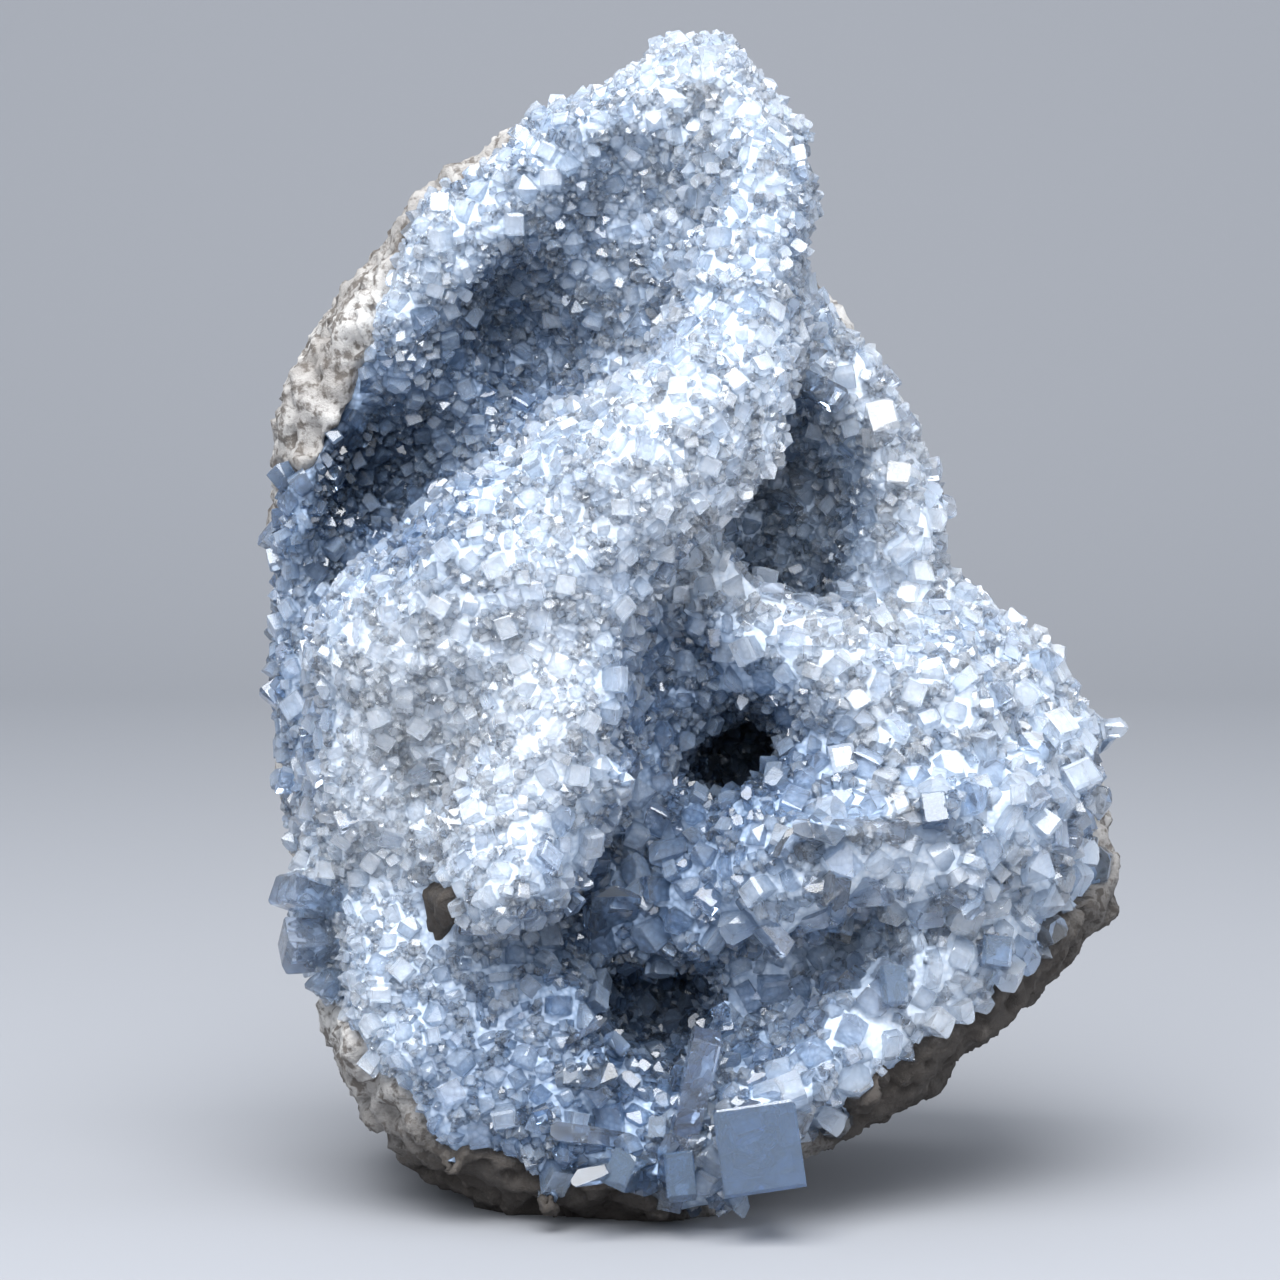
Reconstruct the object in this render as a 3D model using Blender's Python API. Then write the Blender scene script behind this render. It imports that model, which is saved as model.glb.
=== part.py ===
"""A broken celestite geode: rock round two hollows, lined with one crust of pale blue crystals."""

import math
import random

import bmesh
import bpy
from mathutils import Vector, noise
from mathutils.bvhtree import BVHTree

MM = 0.001
SEED = 11

# Every form is in millimetres: X to the right, Y away from the viewer, Z up, the flat foot at Z 0
# Levels of the boulder, from below the foot to the peak: z, x on the left and right, y in front and behind
BOULDER_LEVELS = [
    (-6, -14, 20, -28, 30),
    (0, -20, 20, -34, 40),
    (5, -29, 29, -36, 45),
    (10, -36, 37, -36, 48),
    (16, -42, 46, -34, 51),
    (28, -46, 64, -32, 55),
    (40, -48, 79, -28, 57),
    (52, -50, 87, -20, 58),
    (64, -52, 88, -12, 58),
    (80, -54, 80, -4, 57),
    (94, -57, 66, 0, 55),
    (104, -57, 57, 0, 53),
    (117, -55, 56, 0, 50),
    (129, -51, 50, -2, 46),
    (142, -46, 42, -4, 42),
    (150, -43, 35, -6, 38),
    (163, -30, 32, -10, 32),
    (171, -17, 31, -12, 26),
    (178, -9, 29, -14, 20),
    (186, 2, 26, -15, 10),
    (192, 14, 21, -16, -2),
]
RING_POINTS = 40
SQUARENESS = 2.3

# Walls of rock along smooth lines: how far each reaches back, then its stations x, y, z and radius
WALLS = {
    "right_rim": (
        21,
        [
            (18, -14, 186, 5),
            (22, -20, 176, 8),
            (23, -25, 164, 9),
            (22, -28, 152, 10),
            (21, -32, 138, 11),
        ],
    ),
    "ridge": (
        14,
        [
            (21, -34, 138, 11),
            (18, -36, 126, 13),
            (7, -37, 120, 14),
            (-5, -38, 111, 14),
            (-18, -37, 101, 14),
            (-29, -34, 92, 13),
        ],
    ),
    "left_lobe": (
        14,
        [
            (-29, -34, 94, 13),
            (-35, -30, 80, 11),
            (-37, -25, 66, 10),
            (-37, -20, 55, 9),
        ],
    ),
    "tongue": (
        14,
        [
            (-4, -36, 104, 13),
            (-7, -40, 86, 13),
            (-10, -42, 71, 12),
            (-14, -45, 58, 13),
        ],
    ),
    "top_rim": (
        14,
        [
            (-28, -2, 155, 7),
            (-16, -4, 162, 7),
            (0, -8, 172, 7),
            (9, -12, 180, 7),
            (18, -14, 186, 5),
        ],
    ),
    "left_rim": (
        14,
        [
            (-30, 0, 152, 8),
            (-40, 2, 134, 8),
            (-47, 3, 117, 7),
            (-50, 3, 97, 7),
            (-46, 2, 77, 8),
            (-42, 0, 60, 9),
        ],
    ),
    "left_foot": (
        14,
        [
            (-38, -14, 52, 10),
            (-31, -24, 42, 13),
            (-30, -27, 28, 13),
            (-22, -30, 17, 12),
        ],
    ),
    "heel": (
        14,
        [
            (-16, -27, 46, 9),
            (-10, -31, 28, 12),
        ],
    ),
    "front_lip": (
        14,
        [
            (-22, -30, 16, 11),
            (-9, -34, 12, 11),
            (7, -37, 11, 11),
            (21, -37, 16, 10),
            (34, -34, 24, 11),
            (48, -29, 32, 11),
            (63, -20, 41, 10),
            (75, -10, 51, 9),
        ],
    ),
    "ledge": (
        14,
        [
            (8, -25, 47, 9),
            (20, -31, 54, 11),
            (36, -34, 59, 12),
            (50, -33, 62, 12),
            (64, -26, 63, 12),
            (72, -14, 62, 10),
        ],
    ),
    "right_rim_low": (
        14,
        [
            (75, -8, 66, 9),
            (74, -5, 76, 9),
            (66, -2, 84, 9),
            (55, 0, 92, 9),
            (47, 0, 101, 9),
            (48, 0, 114, 9),
            (44, 0, 125, 9),
            (37, -2, 137, 8),
        ],
    ),
    "throat": (
        7,
        [
            (18, -16, 102, 9),
            (13, -17, 88, 9),
            (9, -18, 74, 9),
            (7, -20, 62, 9),
        ],
    ),
    "shelf": (
        14,
        [
            (13, -19, 103, 8),
            (25, -21, 93, 10),
            (39, -22, 86, 11),
            (54, -20, 81, 12),
        ],
    ),
}
WALL_STEP = 7

# Spaces that the crystals grew into, as stations x, y, z and radius
HOLLOWS = {
    "upper_bowl": [
        (12, -29, 172, 9),
        (7, -23, 163, 12),
        (0, -18, 152, 14),
        (-10, -12, 142, 14),
        (-23, -10, 131, 13),
        (-34, -4, 117, 11),
        (-41, -7, 103, 8),
        (-43, -13, 88, 6),
        (-43, -15, 76, 5),
    ],
    "bowl_hole": [
        (-14, 0, 145, 8),
        (-11, 5, 136, 9),
    ],
    "recess": [
        (-29, 2, 120, 8),
        (-36, 7, 115, 10),
        (-39, -2, 108, 8),
    ],
    "behind_ridge": [
        (33, -18, 132, 7),
        (31, -11, 118, 9),
        (29, -7, 108, 10),
        (25, 0, 97, 9),
    ],
    "lower_bowl": [
        (20, -22, 76, 8),
        (25, -8, 71, 9),
        (28, 0, 70, 10),
        (30, 8, 70, 9),
    ],
    "pocket": [
        (10, -46, 32, 7),
        (9, -30, 33, 9),
        (9, -18, 35, 8),
    ],
    "under_tongue": [
        (-34, -38, 49, 4),
        (-18, -38, 45, 5),
        (-4, -36, 47, 6),
        (4, -32, 56, 6),
    ],
}

VOXEL = 1.8
WEAR_ROUNDS = 16
LUMP_SIZE, LUMP_HEIGHT = 26, 9
KNOB_SIZE, KNOB_HEIGHT = 10, 4.5

# Where the crust ends on the outside: y at an angle round the middle of the front,
# which starts on the right and goes over the top
RIM_MIDDLE = (9, 95)
RIM_EDGE = [
    (0, 18),
    (45, 14),
    (85, 4),
    (110, 0),
    (130, -5),
    (145, -3),
    (156, 4),
    (170, 14),
    (190, 18),
    (208, 12),
    (222, -8),
    (236, -28),
    (270, -38),
    (300, -32),
    (326, -14),
    (340, 14),
    (360, 18),
]
RIM_BLEND = 5
RIM_WANDER, RIM_WANDER_SIZE = 4, 14
# Within the outline by this much, all that lies this far in front of the back is crust
INSIDE, TOP_INSIDE, BACK_WALL = 11, 178, 16
CRUST_DEPTH = 4.2
RIND_SWELL = 0.9
GAP = 0.35
CRUST_LIFT = 1.2

ROCK_FACES = 1900
FORM_FACES = 3500
GRAIN = 1.1

# Single crystals: x and z where each stands, the way it points, two widths, height, turn and sides
LARGE_CRYSTALS = [
    (24.5, 17.5, (0.1, -1.0, 0.35), 14, 13, 9, 8, 4),
    (15.5, 23.0, (0.35, -0.35, 1.0), 7.5, 5, 17, 20, 4),
    (11.0, 11.0, (0.3, -1.0, 0.2), 7, 5, 6, 30, 4),
    (5.0, 10.0, (-0.4, -0.8, 0.3), 6, 5, 6, 70, 4),
    (-3.0, 16.0, (-0.7, -0.6, 0.35), 5, 4, 11, 15, 6),
    (1.0, 13.0, (-0.9, -0.5, -0.1), 4, 4, 10, 40, 6),
    (-3.0, 28.0, (0.9, -0.6, 0.2), 5, 3, 8, 10, 4),
    (-4.0, 24.0, (1.0, -0.4, -0.1), 5, 3, 7, 50, 4),
    (-8.0, 8.0, (0.1, -0.8, -0.8), 5, 4, 8, 0, 6),
    (44.0, 63.0, (-0.9, -0.7, 0.25), 6, 5, 15, 25, 6),
    (2.0, 50.0, (0.2, -1.0, 0.3), 9, 8, 5, 15, 4),
    (-46.0, 51.0, (-0.8, -0.5, 0.5), 8, 6, 7, 10, 4),
    (-46.0, 45.0, (-1.0, -0.4, 0.0), 8, 7, 6, 45, 4),
    (-44.0, 38.0, (-0.7, -0.7, -0.2), 7, 6, 5, 80, 4),
    (29.0, 114.0, (0.6, -0.8, -0.3), 4, 4, 6, 20, 6),
    (34.0, 134.0, (0.8, -0.6, -0.4), 4, 4, 6, 60, 6),
    (45.0, 126.0, (0.3, -1.0, 0.2), 6, 5, 5, 35, 4),
    (46.0, 118.0, (0.2, -1.0, 0.1), 6, 6, 5, 10, 4),
    (67.0, 68.0, (0.2, -0.9, 0.4), 7, 6, 6, 30, 4),
    (52.0, 43.0, (0.1, -1.0, 0.1), 7, 6, 6, 60, 4),
    (72.0, 52.0, (0.5, -0.8, 0.2), 7, 6, 6, 15, 4),
]
# A crystal reaches this far into the crust, where it is narrower, and has a chisel tip
ROOT, ROOT_SHARE = 3.0, 0.75
TIP_LENGTH, TIP_WIDTH = 0.45, 0.28
# Crystals set at random: the most there are, the least distance between two, and their sizes
SMALL_CRYSTALS = 95
SMALL_SPACING = 11
COARSE_BELOW = 80
FINE_SIZE = (4.0, 5.5)
COARSE_SIZE = (5.5, 8.0)

ROCK_COLOUR = (0.33, 0.30, 0.265, 1)
CRYSTAL_COLOUR = (0.50, 0.60, 0.72, 1)


def new_object(name, mesh):
    item = bpy.data.objects.new(name, mesh)
    bpy.context.scene.collection.objects.link(item)
    return item


def object_from(name, bm):
    mesh = bpy.data.meshes.new(name)
    bm.to_mesh(mesh)
    bm.free()
    return new_object(name, mesh)


def apply_modifiers(item):
    bpy.context.view_layer.update()
    graph = bpy.context.evaluated_depsgraph_get()
    mesh = bpy.data.meshes.new_from_object(item.evaluated_get(graph))
    item.modifiers.clear()
    item.data = mesh


def add_skin(item):
    skin = item.modifiers.new("skin", "REMESH")
    skin.mode = "VOXEL"
    skin.voxel_size = VOXEL * MM


def add_wear(item, rounds):
    wear = item.modifiers.new("wear", "SMOOTH")
    wear.factor = 0.5
    wear.iterations = rounds


def add_lumps(item, name, size, height):
    pattern = bpy.data.textures.new(name, "CLOUDS")
    pattern.noise_scale = size * MM
    lumps = item.modifiers.new(name, "DISPLACE")
    lumps.texture = pattern
    lumps.texture_coords = "LOCAL"
    lumps.strength = height * MM
    lumps.mid_level = 0.5


def add_boolean(item, other, operation, crossing=False):
    """Crossing says that the surfaces of one item may run through each other."""
    step = item.modifiers.new(other.name, "BOOLEAN")
    step.operation = operation
    step.solver = "EXACT"
    step.use_self = crossing
    step.object = other


def boulder():
    """The outside of the boulder, lofted through its levels and closed at both ends."""
    bm = bmesh.new()
    rings = []
    for z, left, right, front, back in BOULDER_LEVELS:
        ring = []
        for i in range(RING_POINTS):
            turn = 2 * math.pi * i / RING_POINTS
            c, s = math.cos(turn), math.sin(turn)
            across = math.copysign(abs(c) ** (2 / SQUARENESS), c)
            deep = math.copysign(abs(s) ** (2 / SQUARENESS), s)
            x = (left + right) / 2 + across * (right - left) / 2
            y = (front + back) / 2 + deep * (back - front) / 2
            ring.append(bm.verts.new(Vector((x, y, z)) * MM))
        rings.append(ring)
    for below, above in zip(rings, rings[1:]):
        for i in range(RING_POINTS):
            j = (i + 1) % RING_POINTS
            bm.faces.new((below[i], below[j], above[j], above[i]))
    bm.faces.new(list(reversed(rings[0])))
    bm.faces.new(rings[-1])
    return object_from("boulder", bm)


def bar(name, stations):
    """A round bar through its stations, with a ball at each end."""
    curve = bpy.data.curves.new(name, "CURVE")
    curve.dimensions = "3D"
    curve.bevel_depth = MM
    curve.bevel_resolution = 6
    curve.use_fill_caps = True
    curve.resolution_u = 6
    spline = curve.splines.new("NURBS")
    spline.points.add(len(stations) - 1)
    for point, (x, y, z, radius) in zip(spline.points, stations):
        point.co = (x * MM, y * MM, z * MM, 1)
        point.radius = radius
    spline.order_u = 3
    spline.use_endpoint_u = True
    path = new_object(name, curve)
    bpy.context.view_layer.update()
    graph = bpy.context.evaluated_depsgraph_get()
    mesh = bpy.data.meshes.new_from_object(path.evaluated_get(graph))
    bpy.data.objects.remove(path)
    bm = bmesh.new()
    bm.from_mesh(mesh)
    bmesh.ops.remove_doubles(bm, verts=bm.verts, dist=1e-6)
    for x, y, z, radius in (stations[0], stations[-1]):
        made = bmesh.ops.create_icosphere(bm, subdivisions=3, radius=radius * MM)
        bmesh.ops.translate(bm, verts=made["verts"], vec=Vector((x, y, z)) * MM)
    return object_from(name, bm)


def walls():
    """Each wall is a row of bars, one behind the other, that widens towards the back."""
    made = []
    for name, (reach, stations) in WALLS.items():
        for k in range(int(reach / WALL_STEP) + 1):
            row = [(x, y + k * WALL_STEP, z, radius + k) for x, y, z, radius in stations]
            made.append(bar(f"{name}_{k}", row))
    return made


def merged(name, pieces):
    """The pieces as one closed skin."""
    bm = bmesh.new()
    for piece in pieces:
        bm.from_mesh(piece.data)
        bpy.data.objects.remove(piece)
    item = object_from(name, bm)
    add_skin(item)
    apply_modifiers(item)
    return item


def cut_foot(item):
    """Cuts the item flat at Z 0 and closes the cut with one face."""
    bm = bmesh.new()
    bm.from_mesh(item.data)
    bmesh.ops.bisect_plane(
        bm,
        geom=bm.verts[:] + bm.edges[:] + bm.faces[:],
        plane_co=(0, 0, 0),
        plane_no=(0, 0, -1),
        clear_outer=True,
    )
    bmesh.ops.holes_fill(bm, edges=[edge for edge in bm.edges if edge.is_boundary])
    bm.to_mesh(item.data)
    bm.free()


def whole_form():
    """Rock and crust together, in fine faces."""
    form = merged("form", [boulder()] + walls())
    space = merged("space", [bar(name, stations) for name, stations in HOLLOWS.items()])
    add_boolean(form, space, "DIFFERENCE")
    add_skin(form)
    add_wear(form, WEAR_ROUNDS)
    add_lumps(form, "lumps", LUMP_SIZE, LUMP_HEIGHT)
    add_lumps(form, "knobs", KNOB_SIZE, KNOB_HEIGHT)
    add_skin(form)
    apply_modifiers(form)
    bpy.data.objects.remove(space)
    return form


def limits_at(z):
    """The boulder's x on the left, x on the right and y behind at this height."""
    for low, high in zip(BOULDER_LEVELS, BOULDER_LEVELS[1:]):
        if z <= high[0]:
            share = max(z - low[0], 0) / (high[0] - low[0])
            return [low[i] + (high[i] - low[i]) * share for i in (1, 2, 4)]
    return [BOULDER_LEVELS[-1][i] for i in (1, 2, 4)]


def rim_y(x, z):
    """The y at which the crust ends on the outside, seen from this side of the middle."""
    angle = math.degrees(math.atan2(z - RIM_MIDDLE[1], x - RIM_MIDDLE[0])) % 360
    for (low, y_low), (high, y_high) in zip(RIM_EDGE, RIM_EDGE[1:]):
        if angle <= high:
            return y_low + (y_high - y_low) * (angle - low) / (high - low)
    return RIM_EDGE[-1][1]


def cover(point):
    """The share of the crust's depth at this spot: 0 is bare rock."""
    x, y, z = point
    left, right, behind = limits_at(z)
    within = left + INSIDE < x < right - INSIDE and INSIDE < z < TOP_INSIDE
    if within and y < behind - BACK_WALL:
        return 1
    edge = rim_y(x, z) + RIM_WANDER * noise.noise(point / RIM_WANDER_SIZE)
    share = min(max((edge - y) / RIM_BLEND + 0.5, 0), 1)
    return share * share * (3 - 2 * share)


def reduce(item, faces):
    item.data.calc_loop_triangles()
    few = item.modifiers.new("few_faces", "DECIMATE")
    few.ratio = faces / len(item.data.loop_triangles)
    apply_modifiers(item)


def push(item, height):
    """Moves every vertex outwards by the height that belongs to its place."""
    moves = [vertex.normal * height(vertex.co / MM) * MM for vertex in item.data.vertices]
    for vertex, move in zip(item.data.vertices, moves):
        vertex.co += move


def rock_from(form):
    """The rock under the crust: the form, sunk by the crust's depth wherever the crust covers it."""
    rock = new_object("rock_shell", form.data.copy())
    push(rock, lambda spot: RIND_SWELL - (CRUST_DEPTH + RIND_SWELL) * cover(spot))
    add_skin(rock)
    add_wear(rock, 2)
    apply_modifiers(rock)
    reduce(rock, ROCK_FACES)
    cut_foot(rock)
    return rock


def crystal(bm, foot, axis, widths, height, turn, sides):
    """One closed crystal with flat sides, a chisel tip and a narrower root that reaches into the crust."""
    axis = axis.normalized()
    side = axis.orthogonal().normalized()
    other = axis.cross(side)
    c, s = math.cos(turn), math.sin(turn)
    side, other = side * c + other * s, other * c - side * s
    points = []
    shoulder = height - TIP_LENGTH * min(widths)
    for level, scale in ((-ROOT, ROOT_SHARE), (shoulder, 1)):
        for i in range(sides):
            angle = 2 * math.pi * (i + 0.5) / sides
            reach = scale / math.cos(math.pi / sides) / 2
            spot = side * math.cos(angle) * widths[0] * reach
            spot += other * math.sin(angle) * widths[1] * reach
            points.append(foot + (spot + axis * level) * MM)
    for way in (-1, 1):
        points.append(foot + (side * way * widths[0] * TIP_WIDTH + axis * height) * MM)
    verts = [bm.verts.new(point) for point in points]
    made = bmesh.ops.convex_hull(bm, input=verts)
    unused = [item for item in made["geom_interior"] if isinstance(item, bmesh.types.BMVert)]
    bmesh.ops.delete(bm, geom=unused)


def crystals_on(form):
    """The large crystals, each where it stands in the hollows, and small ones between them."""
    tree = BVHTree.FromPolygons(
        [v.co for v in form.data.vertices], [p.vertices for p in form.data.polygons]
    )
    bm = bmesh.new()
    taken = []
    for x, z, axis, wide, deep, height, turn, sides in LARGE_CRYSTALS:
        foot, _, _, _ = tree.ray_cast(Vector((x, -200, z)) * MM, Vector((0, 1, 0)))
        if foot is None:
            foot, _, _, _ = tree.find_nearest(Vector((x, -10, z)) * MM)
        crystal(bm, foot, Vector(axis), (wide, deep), height, math.radians(turn), sides)
        taken.append(foot)
    chance = random.Random(SEED)
    spots = [p for p in form.data.polygons if cover(p.center / MM) > 0.95]
    chance.shuffle(spots)
    for spot in spots:
        if len(taken) >= SMALL_CRYSTALS + len(LARGE_CRYSTALS):
            break
        if any((spot.center - other).length < SMALL_SPACING * MM for other in taken):
            continue
        x, y, z = spot.center / MM
        low, high = COARSE_SIZE if z < COARSE_BELOW and x > -5 else FINE_SIZE
        wide = chance.uniform(low, high)
        tilt = Vector([chance.uniform(-0.5, 0.5) for _ in range(3)])
        height = wide * chance.uniform(0.5, 0.9)
        widths = (wide, wide * chance.uniform(0.6, 0.9))
        turn = chance.uniform(0, math.pi)
        sides = chance.choice((4, 4, 5))
        foot = spot.center.copy()
        crystal(bm, foot, spot.normal + tilt, widths, height, turn, sides)
        taken.append(foot)
    return object_from("crystals", bm)


def block(name, x, y, z):
    """A box between these limits."""
    bm = bmesh.new()
    bmesh.ops.create_cube(bm, size=1)
    for vertex in bm.verts:
        vertex.co = Vector([span[int(at > 0)] for span, at in zip((x, y, z), vertex.co)]) * MM
    return object_from(name, bm)


def keep_largest(item):
    """Drops loose chips that a Boolean left beside the body."""
    bm = bmesh.new()
    bm.from_mesh(item.data)
    left = set(bm.verts)
    bodies = []
    while left:
        body = {left.pop()}
        edge = list(body)
        while edge:
            for link in edge.pop().link_edges:
                for vertex in link.verts:
                    if vertex in left:
                        left.remove(vertex)
                        body.add(vertex)
                        edge.append(vertex)
        bodies.append(body)
    bodies.sort(key=len)
    for body in bodies[:-1]:
        bmesh.ops.delete(bm, geom=list(body))
    bm.to_mesh(item.data)
    bm.free()


def crust_from(form, rock):
    """The crust: the form in rough faces with its crystals, less the rock and a thin gap round it."""
    crystals = crystals_on(form)
    crust = new_object("crystal_crust", form.data.copy())
    reduce(crust, FORM_FACES)
    chance = random.Random(SEED)
    push(crust, lambda spot: chance.uniform(-GRAIN, GRAIN))
    cutter = new_object("cutter", rock.data.copy())
    swell = cutter.modifiers.new("gap", "DISPLACE")
    swell.strength = GAP * MM
    swell.mid_level = 0
    apply_modifiers(cutter)
    ground = block("ground", (-150, 150), (-150, 150), (-50, CRUST_LIFT))
    add_boolean(crust, crystals, "UNION", crossing=True)
    add_boolean(crust, cutter, "DIFFERENCE", crossing=True)
    # At a sharp point of the rock the swollen copy can lie inside it, so the rock itself is cut out too
    add_boolean(crust, rock, "DIFFERENCE", crossing=True)
    add_boolean(crust, ground, "DIFFERENCE", crossing=True)
    apply_modifiers(crust)
    keep_largest(crust)
    for helper in (crystals, cutter, ground):
        bpy.data.objects.remove(helper)
    return crust


def paint(item, name, colour, roughness):
    material = bpy.data.materials.new(name)
    material.use_nodes = True
    surface = material.node_tree.nodes["Principled BSDF"]
    surface.inputs["Base Color"].default_value = colour
    surface.inputs["Roughness"].default_value = roughness
    surface.inputs["Metallic"].default_value = 0
    item.data.materials.clear()
    item.data.materials.append(material)


def stand_on_origin(items):
    """Moves the items so that the middle of the box round them, at its bottom, is the origin."""
    spots = [vertex.co for item in items for vertex in item.data.vertices]
    low = Vector([min(spot[i] for spot in spots) for i in range(3)])
    high = Vector([max(spot[i] for spot in spots) for i in range(3)])
    move = -Vector(((low.x + high.x) / 2, (low.y + high.y) / 2, low.z))
    for item in items:
        for vertex in item.data.vertices:
            vertex.co += move
    return move


def main():
    for item in list(bpy.data.objects):
        bpy.data.objects.remove(item)
    form = whole_form()
    rock = rock_from(form)
    crust = crust_from(form, rock)
    bpy.data.objects.remove(form)
    paint(rock, "limestone_rind", ROCK_COLOUR, 0.9)
    paint(crust, "celestite", CRYSTAL_COLOUR, 0.25)
    return stand_on_origin([rock, crust])


moved = main()
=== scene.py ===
"""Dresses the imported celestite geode: pitted rind, a milky druse and tens of thousands of cut crystals."""

import logging
import math
import random
from dataclasses import dataclass, field
from enum import Enum

import bmesh
import bpy
import numpy as np
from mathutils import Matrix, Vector, noise
from mathutils.bvhtree import BVHTree


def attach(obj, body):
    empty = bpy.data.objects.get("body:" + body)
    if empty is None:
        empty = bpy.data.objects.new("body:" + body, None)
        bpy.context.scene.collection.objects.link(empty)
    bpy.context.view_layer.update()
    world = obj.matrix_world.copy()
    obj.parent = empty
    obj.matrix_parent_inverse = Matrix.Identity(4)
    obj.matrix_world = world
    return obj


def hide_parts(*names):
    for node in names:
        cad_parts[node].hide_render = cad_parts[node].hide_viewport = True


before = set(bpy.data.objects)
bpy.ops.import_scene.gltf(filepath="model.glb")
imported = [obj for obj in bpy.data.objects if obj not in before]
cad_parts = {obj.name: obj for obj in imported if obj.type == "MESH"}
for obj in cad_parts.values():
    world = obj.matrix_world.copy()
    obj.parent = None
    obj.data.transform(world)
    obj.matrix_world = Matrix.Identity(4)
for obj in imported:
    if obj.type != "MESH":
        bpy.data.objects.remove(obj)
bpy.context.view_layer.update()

LOG = logging.getLogger("geode")
MM = 0.001
SEED = 29
ROOT_BODY = "root"

# The source's own frame, in which places are given below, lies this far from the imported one, in millimetres
SHIFT = Vector((-15.2, -0.2, 0.0))


class Habit(Enum):
    """The shapes in which the crystals grow."""

    WEDGE = "prism with a roof-shaped end"
    POINT = "prism that ends in four sloping faces"
    BLOCK = "stout block with cut corners"
    TABLET = "thin plate with a bevelled edge"
    GRAIN = "small point that fills the gaps"
    SQUARE = "large square block with narrow bevels"


class Finish(Enum):
    """The materials of a crystal piece, by their place in its slots."""

    CLOUDY = 0
    CLEAR = 1
    BLUE = 2


def linear(code: str) -> tuple[float, float, float, float]:
    """Turns an sRGB hex colour to linear light.

    Args:
        code: six hex digits after a hash.

    Returns:
        Red, green, blue and a full alpha.
    """
    shares = [int(code[i : i + 2], 16) / 255 for i in (1, 3, 5)]
    light = [s / 12.92 if s <= 0.04045 else ((s + 0.055) / 1.055) ** 2.4 for s in shares]
    return (*light, 1.0)


def add_node(tree: bpy.types.NodeTree, kind: str, settings: dict, links: dict) -> bpy.types.Node:
    """Adds a node with its settings and links.

    Args:
        tree: the material's nodes.
        kind: Blender's name for the node.
        settings: properties and sockets by name or number; "stops" are a ramp's places and hex colours.
        links: the output that feeds each input, by name or number.

    Returns:
        The new node.
    """
    node = tree.nodes.new(kind)
    for name, value in settings.items():
        if name == "stops":
            ramp = node.color_ramp.elements
            while len(ramp) < len(value):
                ramp.new(1.0)
            for stop, (place, code) in zip(ramp, value):
                stop.position = place
                stop.color = linear(code)
        elif isinstance(name, int) or name in node.inputs:
            node.inputs[name].default_value = value
        else:
            setattr(node, name, value)
    for name, source in links.items():
        tree.links.new(source, node.inputs[name])
    return node


def new_material(name: str) -> tuple[bpy.types.Material, bpy.types.NodeTree]:
    """Makes a material with no nodes.

    Args:
        name: the material's name.

    Returns:
        The material and its node tree.
    """
    material = bpy.data.materials.new(name)
    material.use_nodes = True
    material.node_tree.nodes.clear()
    return material, material.node_tree


@dataclass(frozen=True)
class CelestiteFinish:
    """Celestite (strontium sulphate) with faces as they grew: flat, glassy and unpolished.

    Each crystal has its own tint, from slate blue through ice blue to white. It is painted darker at its foot
    and paler at its tip: painted shade between the crystals and painted light on the tips.
    """

    name: str
    transmission: float
    roughness: float
    tints: tuple[tuple[float, str], ...]
    absorption: str = "#FFFFFF"
    density: float = 0.0
    index: float = 1.62

    def build(self) -> bpy.types.Material:
        """Makes the material.

        Returns:
            The material, with plain transmission, index and absorption values.
        """
        material, tree = new_material(self.name)
        tint = add_node(tree, "ShaderNodeAttribute", {"attribute_name": "tint"}, {})
        colour = add_node(tree, "ShaderNodeValToRGB", {"stops": self.tints}, {"Fac": tint.outputs["Fac"]})
        skin = add_node(
            tree,
            "ShaderNodeBsdfPrincipled",
            {
                "Transmission Weight": self.transmission,
                "Roughness": self.roughness,
                "IOR": self.index,
            },
            {"Base Color": colour.outputs["Color"]},
        )
        links = {"Surface": skin.outputs["BSDF"]}
        if self.density > 0:
            body = add_node(
                tree,
                "ShaderNodeVolumeAbsorption",
                {"Color": linear(self.absorption), "Density": self.density},
                {},
            )
            links["Volume"] = body.outputs["Volume"]
        add_node(tree, "ShaderNodeOutputMaterial", {}, links)
        return material


# The small crystals are full of fine veils and bubbles: part of the light scatters back, which gives the
# eye a milky, icy body. They are too thin for absorption to show, so their tint carries all the colour.
CLOUDY = CelestiteFinish(
    name="celestite_cloudy_grown_faces",
    transmission=0.77,
    roughness=0.15,
    tints=(
        (0.0, "#4E637E"),
        (0.25, "#92A8C4"),
        (0.5, "#C0D1E5"),
        (0.75, "#DFE9F5"),
        (1.0, "#F5F9FE"),
    ),
)
# Clear crystals let the eye see their neighbours through them, and give small hard glints.
CLEAR = CelestiteFinish(
    name="celestite_clear_grown_faces",
    transmission=0.94,
    roughness=0.04,
    tints=(
        (0.0, "#7F99B7"),
        (0.35, "#B3C8DF"),
        (0.7, "#DFE9F5"),
        (1.0, "#FAFCFF"),
    ),
    absorption="#B4CEEC",
    density=60.0,
)
# The large blocks are thick enough to look an even deeper blue.
BLUE = CelestiteFinish(
    name="celestite_blue_grown_faces",
    transmission=0.8,
    roughness=0.05,
    tints=(
        (0.0, "#7F9BBD"),
        (0.5, "#9FB8D4"),
        (1.0, "#D5E3F2"),
    ),
    absorption="#8FB2DC",
    density=90.0,
)


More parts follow.
